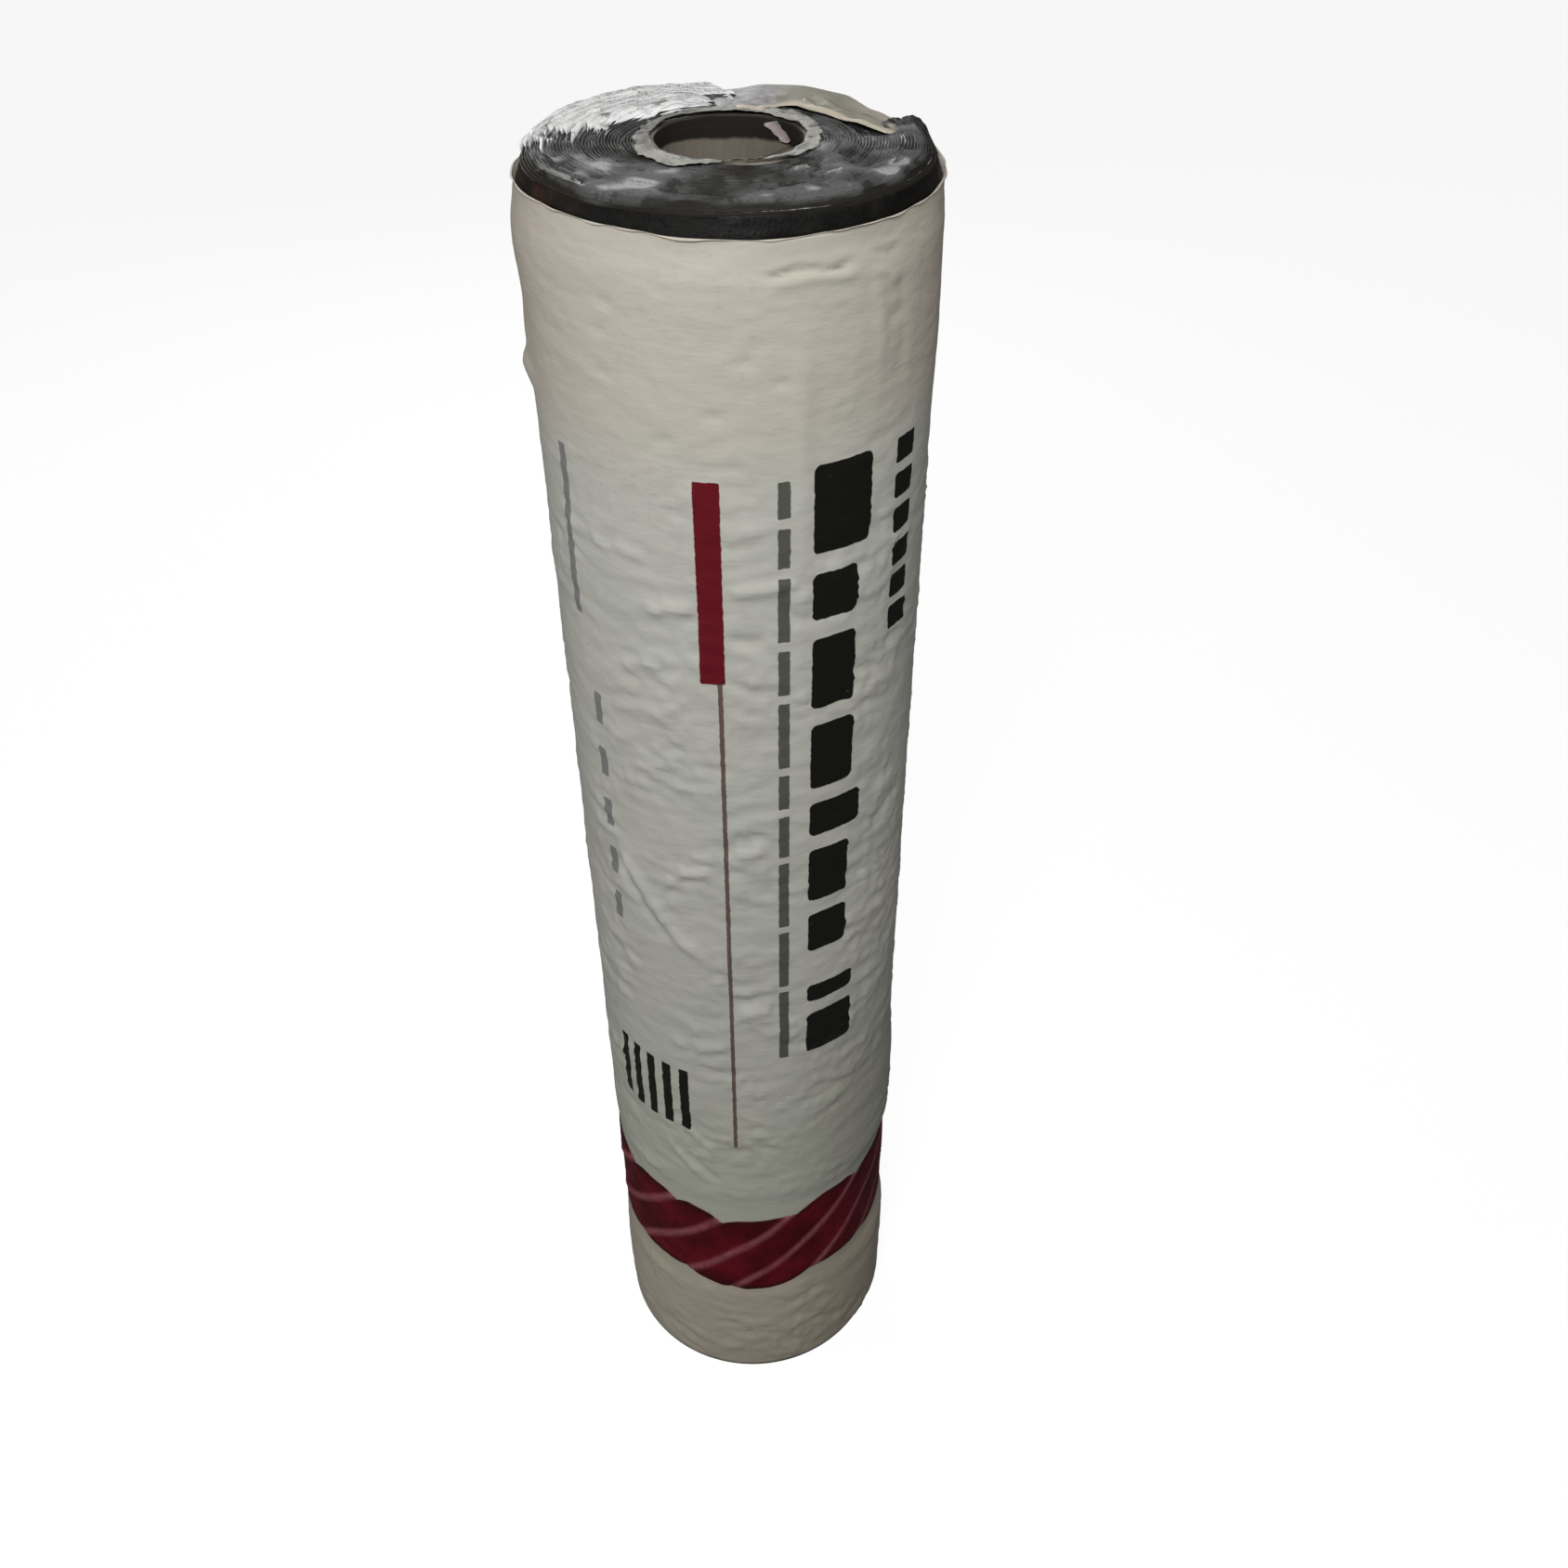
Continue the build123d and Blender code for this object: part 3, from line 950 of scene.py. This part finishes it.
def film_collar(angle, part):
    """A point of the film above the sleeve's level top: the thin lip, or the flap tucked over the end."""
    rest = film_rest_radius(sleeve_top)
    around = (math.sin(angle), -math.cos(angle), 0)
    ragged = 1 + 0.5 * uneven(around, 0.12, 30)
    run = part * (lip_rise + lip_radius * lip_turn) * ragged
    curl = max(run - lip_rise, 0) / lip_radius
    lip_r = rest + 0.0004 * uneven(around, 0.16, 35) * ease(part, 0, 0.3) + lip_radius * (1 - math.cos(curl))
    lip_z = sleeve_top + min(run, lip_rise) + lip_radius * math.sin(curl)
    lip_z += 0.0012 * uneven(around, 0.22, 36) * part - top_dip(angle)

    turned = angle % math.tau
    lift = ease(turned, math.radians(114), math.radians(120))
    lift *= 1 - ease(turned, math.radians(187), math.radians(194))
    if lift == 0:
        return on_circle(lip_r, angle, lip_z)
    bound = min(max(turned, math.radians(114)), math.radians(194))
    target, reach = flap_free_edge(bound)
    reach += 0.0009 * uneven(around, 0.10, 31)
    flap_rise = from_table(flap_rises, math.degrees(turned))
    bend = fold_radius * math.pi / 2
    shoulder = on_circle(rest - fold_radius, angle, sleeve_top + flap_rise + fold_radius)
    free = on_circle(reach, target, end_height + flap_level)
    over = (free - shoulder).length
    run = part * (flap_rise + bend + over)
    if run < flap_rise:
        spot = on_circle(rest, angle, sleeve_top + run)
        into = 0.0
    elif run < flap_rise + bend:
        bent = (run - flap_rise) / fold_radius
        bent_r = rest - fold_radius * (1 - math.cos(bent))
        spot = on_circle(bent_r, angle, sleeve_top + flap_rise + fold_radius * math.sin(bent))
        into = 0.0
    else:
        into = (run - flap_rise - bend) / over
        spot = shoulder.lerp(free, into)
    left_part = ease(turned, math.radians(158), math.radians(168))
    pleat = crease(uneven((math.sin(angle) * 1.2, -math.cos(angle) * 1.2, 0.3 * into), 0.13, 32), 2.4)
    spot.z += ease(into, 0.1, 0.7) * (1 - ease(into, 0.8, 1.0)) * 0.0024 * pleat * (1 - left_part)
    rolled = math.exp(-(((into - 0.93) / 0.05) ** 2)) * (1 - left_part)
    spot.z += 0.0016 * rolled * (1 + 0.4 * uneven(around, 0.08, 33))
    rumpled = uneven((spot.x * 0.45, spot.y, 0), 0.0065, 37)
    fine_rumple = uneven((spot.x * 0.7, spot.y, 0), 0.0035, 38)
    spot.z += left_part * ease(into, 0.05, 0.3) * (0.0016 * abs(rumpled) + 0.0005 * fine_rumple)
    soft = uneven((spot.x, spot.y, 0), 0.018, 39)
    spot.z += (1 - left_part) * ease(into, 0.0, 0.2) * 0.0009 * soft
    sunk = flap_sink(spot.x, spot.y) * (0.0106 - flap_rise) / 0.0088
    spot.z = max(spot.z, end_height - 0.0002 - sunk) if into > 0.1 else spot.z
    return on_circle(lip_r, angle, lip_z).lerp(spot, lift)


def film_at(angle, along):
    """A point of the film: along is 0 at the hem, 1 at the sleeve's level top and 2 at the free edge."""
    if along <= 1:
        return film_side(angle, film_height(along))
    return film_collar(angle, along - 1)


blank_outer = 1.0
blank_split = 0.75
blank_inner = 0.5


def double_wall(bm, columns, outer_rows, inner_rows):
    """A blank for a closed sleeve: two open tubes, one in the other, joined at both ends. It is 1 high, with
    its middle at the origin, and a point's radius tells by blank_split which wall it belongs to."""
    for blank_radius, rows in ((blank_outer, outer_rows), (blank_inner, inner_rows)):
        before = set(bm.edges)
        bmesh.ops.create_cone(
            bm, cap_ends=False, segments=columns, radius1=blank_radius, radius2=blank_radius, depth=1
        )
        new_edges = [edge for edge in bm.edges if edge not in before]
        uprights = [e for e in new_edges if abs(e.verts[0].co.z - e.verts[1].co.z) > 0.5]
        bmesh.ops.subdivide_edges(bm, edges=uprights, cuts=rows - 1, use_grid_fill=True)
    inner_faces = [face for face in bm.faces if face.calc_center_median().xy.length < blank_split]
    bmesh.ops.reverse_faces(bm, faces=inner_faces)
    open_edges = [edge for edge in bm.edges if edge.is_boundary]
    for end in (-0.5, 0.5):
        rims = [edge for edge in open_edges if abs(edge.verts[0].co.z - end) < 0.0001]
        bmesh.ops.bridge_loops(bm, edges=rims)


bm = bmesh.new()
double_wall(bm, film_columns, film_rows + collar_rows, lining_rows + collar_rows)

run_layer = bm.verts.layers.float.new("run")
crease_shade_layer = bm.verts.layers.float.new("crease_shade")
free_edge_layer = bm.verts.layers.float.new("edge")
tiny = 0.0004
column_bunching = 0.32
lining_gap = 0.0003
for vert in bm.verts:
    even_angle = math.atan2(vert.co.x, -vert.co.y)
    angle = even_angle - column_bunching * math.sin(even_angle)
    outer = vert.co.xy.length > blank_split
    side_rows = film_rows if outer else lining_rows
    row = round((vert.co.z + 0.5) * (side_rows + collar_rows))
    along = row / side_rows if row <= side_rows else 1 + (row - side_rows) / collar_rows
    vert[run_layer] = along
    vert[free_edge_layer] = ease(along, 1.86, 1.94)
    if outer:
        vert.co = film_at(angle, along)
        vert[crease_shade_layer] = pressed_lines(angle * film_unroll, film_height(along))[1] if along < 1 else 0
    elif along <= 1:
        hung = film_height(along) - top_dip(angle) * ease(film_height(along), 0.93, sleeve_top)
        vert.co = on_circle(coil_radius + lining_gap, angle, hung)
    else:
        spot = film_at(angle, along)
        sideways = film_at(angle + tiny, along) - film_at(angle - tiny, along)
        upwards = film_at(angle, min(along + tiny, 2)) - film_at(angle, along - tiny)
        vert.co = spot - sideways.cross(upwards).normalized() * film_thickness

# The print lies on the film as it was before wrapping: u runs round the roll from its front, v runs up it.
film_map = bm.loops.layers.uv.new("film_map")
tucked_length = 0.060
for face in bm.faces:
    angles = [math.atan2(loop.vert.co.x, -loop.vert.co.y) for loop in face.loops]
    at_back = max(angles) - min(angles) > math.pi
    for loop, angle in zip(face.loops, angles):
        if at_back and angle < 0:
            angle += math.tau
        run = loop.vert[run_layer]
        height = film_height(run) if run <= 1 else sleeve_top + (run - 1) * tucked_length
        loop[film_map].uv = (angle * film_unroll, height)

film, shader = new_material("printed_film", {"Specular IOR Level": 0.12})
place = on_object(film)
on_film = add(film, "UVMap", {}, uv_map="film_map")
parts = add(film, "SeparateXYZ", {0: place})
drawn = stretched(film, place, 1, 1, 3.2)
clouds = grain(film, place, 11, 3)
puckers = grain(film, drawn, 38, 5, 0.55)
crinkle = grain(film, stretched(film, place, 1, 1, 2.2), 190, 4, 0.6)
rightward = parts.outputs[0]
up = parts.outputs[2]
pale = mixed(film, between(film, clouds, 0.35, 0.65), (0.450, 0.458, 0.414), (0.474, 0.460, 0.418))
pale = mixed(film, between(film, puckers, 0.40, 0.68, 0.0, 0.35), pale, (0.385, 0.395, 0.345))
pale = mixed(film, between(film, up, 0.43, 0.28), pale, (0.425, 0.430, 0.368))
# Painted shade: low on the roll's right the film is painted darker.
painted_shade_lower_right = times(film, between(film, rightward, 0.015, 0.095), between(film, up, 0.50, 0.32))
pale = mixed(film, times(film, painted_shade_lower_right, 0.8), pale, (0.320, 0.318, 0.268))
warm_foot = between(film, up, 0.22, 0.13)
pale = mixed(film, warm_foot, pale, (0.425, 0.384, 0.308))
# Painted shade: at the foot's right the film is painted darker still.
painted_shade_foot_right = times(film, warm_foot, between(film, rightward, 0.015, 0.095, 0.0, 0.8))
pale = mixed(film, painted_shade_foot_right, pale, (0.345, 0.300, 0.238))
warm_top = mixed(film, between(film, clouds, 0.35, 0.65), (0.462, 0.440, 0.374), (0.480, 0.444, 0.384))
pinkish = between(film, calc(film, "ABSOLUTE", rightward), 0.060, 0.110)
warm_top = mixed(film, times(film, pinkish, 0.8), warm_top, (0.458, 0.405, 0.348))
pale = mixed(film, between(film, up, 0.84, 0.91), pale, warm_top)
soiled = times(film, between(film, crinkle, 0.52, 0.70), between(film, clouds, 0.48, 0.70))
pale = mixed(film, times(film, soiled, 0.25), pale, (0.25, 0.24, 0.20))
# Painted shade: the film is painted dark brown along the creases.
painted_crease_shade = painted(film, "crease_shade")
painted_crease_shade = times(film, painted_crease_shade, between(film, crinkle, 0.3, 0.6, 0.45, 0.95))
pale = mixed(film, painted_crease_shade, pale, (0.085, 0.068, 0.045))
# Painted shade: where the film is tucked over the end, it is painted darker and browner.
tucked = between(film, up, end_height - 0.008, end_height - 0.001)
pale = mixed(film, times(film, tucked, 0.85), pale, (0.255, 0.240, 0.190))
grey_side = between(film, calc(film, "ADD", rightward, times(film, puckers, 0.02)), 0.040, 0.026)
pale = mixed(film, times(film, tucked, grey_side), pale, (0.245, 0.232, 0.236))
smudge_place = (-0.006, 0.084, end_height)
smudge_off = add(film, "VectorMath", {0: place, 1: smudge_place}, operation="DISTANCE").outputs[1]
smudge = times(film, between(film, smudge_off, 0.016, 0.005), between(film, crinkle, 0.35, 0.60))
pale = mixed(film, times(film, smudge, tucked), pale, (0.10, 0.10, 0.095))
# Painted highlight: the film's free edge, its top lip and the flap's rolled edge, is painted paler.
edge_on = painted(film, "edge")
pale = mixed(film, times(film, edge_on, 0.85), pale, (0.50, 0.445, 0.36))

ink_wander = grain(film, on_film, 260, 2)
ink_shift = calc(film, "MULTIPLY_ADD", ink_wander, 0.0012, -0.0006)
flat_parts = add(film, "SeparateXYZ", {0: on_film})
across_film = calc(film, "ADD", flat_parts.outputs[0], ink_shift)
up_film = calc(film, "ADD", flat_parts.outputs[1], ink_shift)


def plain_block(left, right, bottom, top, corner=0.0008):
    """The inked area of one plain block with rounded corners, given on the flat film in metres."""
    reach_u = (right - left) / 2 - corner
    reach_v = (top - bottom) / 2 - corner
    off_u = calc(film, "ABSOLUTE", calc(film, "SUBTRACT", across_film, (left + right) / 2))
    off_v = calc(film, "ABSOLUTE", calc(film, "SUBTRACT", up_film, (bottom + top) / 2))
    past_u = calc(film, "MAXIMUM", calc(film, "SUBTRACT", off_u, reach_u), 0)
    past_v = calc(film, "MAXIMUM", calc(film, "SUBTRACT", off_v, reach_v), 0)
    squares = [calc(film, "POWER", past_u, 2), calc(film, "POWER", past_v, 2)]
    past = calc(film, "SQRT", calc(film, "ADD", *squares))
    return between(film, past, corner - 0.0003, corner + 0.0003, 1.0, 0.0)


def together(blocks):
    """The inked area of several blocks."""
    inked = blocks[0]
    for block in blocks[1:]:
        inked = calc(film, "MAXIMUM", inked, block)
    return inked


red_areas = [plain_block(-0.0193, -0.0050, 0.738, 0.863)]
fine_line = plain_block(-0.0094, -0.0066, 0.315, 0.740, 0.0003)

# The column of grey dashes: the heights at which one ends and the next begins.
dash_gap = 0.006
dash_ends = [0.865, 0.838, 0.808, 0.761, 0.725, 0.672, 0.640, 0.601, 0.540, 0.483, 0.409]
dashes = []
for top, bottom in zip(dash_ends, dash_ends[1:]):
    dashes.append(plain_block(0.0250, 0.0318, bottom + dash_gap / 2, top - dash_gap / 2))

# The wide column of blocks, from its top down: each one's width and length, and the gap below it.
big_left = 0.045
big_blocks = []
top = 0.868
for wide, length, gap in [
    (0.037, 0.052, 0.012),
    (0.029, 0.030, 0.012),
    (0.029, 0.048, 0.012),
    (0.029, 0.048, 0.012),
    (0.037, 0.026, 0.012),
    (0.029, 0.044, 0.012),
    (0.029, 0.034, 0.034),
    (0.037, 0.016, 0.012),
    (0.037, 0.040, 0.000),
]:
    big_blocks.append(plain_block(big_left, big_left + wide, top - length, top, 0.004))
    top -= length + gap

small_blocks = []
for block in range(6):
    small_top = 0.867 - 0.021 * block
    small_blocks.append(plain_block(0.102, 0.120, small_top - 0.015, small_top, 0.002))

corner_bars = []
for bar in range(5):
    bar_left = -0.108 + 0.0145 * bar
    corner_bars.append(plain_block(bar_left, bar_left + 0.0075, 0.326, 0.392, 0.0012))

faint_dashes = [plain_block(-0.110, -0.1035, 0.757, 0.863)]
for dash in range(5):
    dash_bottom = 0.520 + 0.041 * dash
    faint_dashes.append(plain_block(-0.098, -0.091, dash_bottom, dash_bottom + 0.022))

worn = between(film, crinkle, 0.20, 0.30)
dark_ink = times(film, together(big_blocks + small_blocks + corner_bars), worn)
grey_ink = times(film, together(dashes), 0.88)
faint_ink = times(film, together(faint_dashes), 0.72)
printed = mixed(film, together(red_areas), pale, (0.120, 0.0075, 0.0135))
printed = mixed(film, times(film, fine_line, 0.85), printed, (0.070, 0.022, 0.018))
printed = mixed(film, dark_ink, printed, (0.0085, 0.0085, 0.0065))
printed = mixed(film, grey_ink, printed, (0.036, 0.038, 0.030))
printed = mixed(film, faint_ink, printed, (0.10, 0.10, 0.105))
join(film, printed, shader, "Base Color")
join(film, between(film, puckers, 0.3, 0.7, 0.36, 0.50), shader, "Roughness")
pucker_bump = bumped(film, puckers, 0.0010, 0.55)
join(film, bumped(film, crinkle, 0.0004, 0.5, under=pucker_bump), shader, "Normal")

sleeve = put_in_scene(bm, "film_sleeve", film)
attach(sleeve, "root")
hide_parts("sleeve")


# The tape: a wide band of dark red stretch film, wound tightly round the sleeve in slanting laps. Each lap
# ends in a folded edge, painted as a thin pale line that is partly film whitened by stretching and partly a
# painted highlight, and the band's own edges dip where a fold meets them.
tape_inner = 0.1113
tape_columns = 480
tape_rows = 60
tape_lining_rows = 4
tape_middle = 0.175
tape_body = 0.0004
lap_count = 13
lap_spacing = math.tau * film_unroll / lap_count
lap_slope = 0.95
lap_start = -0.011
tape_front_low = 0.1205
tape_front_high = 0.2170
side_lift = 0.0130


def lap_phase(angle, height):
    """Where a place lies between two folds: 0 on a fold, and up to 1 just before the next."""
    along = angle * film_unroll - lap_start - (height - tape_middle) / lap_slope
    wander = 0.06 * uneven((math.sin(angle), -math.cos(angle), 4 * height), 0.35, 40)
    return (along / lap_spacing + wander) % 1.0


def fold_nearness(angle, height, width):
    """1 on a folded edge, 0 from the width on."""
    phase = lap_phase(angle, height)
    apart = min(phase, 1 - phase) * lap_spacing
    return max(0.0, 1 - apart / width)


def tape_edge(angle, front_height, seed):
    """Height of one edge of the band. It lies lowest at the front and the back."""
    lift = side_lift * ease(abs(math.sin(angle)), math.sin(0.10), math.sin(0.62))
    wave = 0.0010 * uneven((math.sin(angle), -math.cos(angle), 0), 0.30, seed)
    return front_height + lift + wave


bm = bmesh.new()
double_wall(bm, tape_columns, tape_rows, tape_lining_rows)

fold_layer = bm.verts.layers.float.new("fold")
border_layer = bm.verts.layers.float.new("border")
for vert in bm.verts:
    angle = math.atan2(vert.co.x, -vert.co.y)
    outer = vert.co.xy.length > blank_split
    part = vert.co.z + 0.5
    low = tape_edge(angle, tape_front_low, 41)
    high = tape_edge(angle, tape_front_high, 42)
    high -= 0.007 * fold_nearness(angle, high, 0.016) ** 1.5
    low += 0.004 * fold_nearness(angle, low, 0.014) ** 1.5
    height = low + (high - low) * part
    fold = fold_nearness(angle, height, 0.0032)
    vert[fold_layer] = fold_nearness(angle, height, 0.0074) ** 0.8
    vert[border_layer] = max(ease(part, 0.10, 0.0), ease(part, 0.90, 1.0))
    if not outer:
        vert.co = on_circle(tape_inner, angle, height)
        continue
    phase = lap_phase(angle, height)
    drawn = (angle * film_unroll - (height - tape_middle) / lap_slope, 0.25 * height)
    creased = uneven((drawn[0], drawn[1], math.cos(angle) * 0.02), 0.007, 43)
    relief = 0.0007 * phase**1.5 + 0.0005 * fold + 0.00028 * creased
    relief += 0.0004 * uneven((math.sin(angle), -math.cos(angle), 6 * height), 0.30, 44)
    edge_fade = ease(part, 0.0, 0.04) * ease(part, 1.0, 0.96)
    out = max(relief, 0) * (0.4 + 0.6 * edge_fade)
    vert.co = on_circle(tape_inner + tape_body + out, angle, height)

tape, shader = new_material("red_stretch_tape", {"Specular IOR Level": 0.09})
place = on_object(tape)
folded = painted(tape, "fold")
broad = grain(tape, place, 26, 3)
streaks = grain(tape, stretched(tape, place, 1, 1, 0.6), 150, 4, 0.6)
red = mixed(tape, between(tape, broad, 0.35, 0.68), (0.058, 0.0020, 0.0050), (0.128, 0.0042, 0.0115))
red = mixed(tape, between(tape, streaks, 0.5, 0.75, 0.0, 0.5), red, (0.035, 0.004, 0.007))
border = painted(tape, "border")
red = mixed(tape, times(tape, border, 0.75), red, (0.028, 0.0030, 0.0045))
# The folded edges are painted pale pink: partly film whitened by stretching, partly a painted highlight.
pale_fold_and_highlight = times(tape, folded, between(tape, streaks, 0.25, 0.60, 0.50, 0.92))
red = mixed(tape, pale_fold_and_highlight, red, (0.34, 0.105, 0.125))
join(tape, red, shader, "Base Color")
join(tape, between(tape, streaks, 0.3, 0.7, 0.48, 0.62), shader, "Roughness")
join(tape, bumped(tape, streaks, 0.0006, 0.6), shader, "Normal")

band = put_in_scene(bm, "stretch_tape", tape)
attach(band, "root")
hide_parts("tape_band")
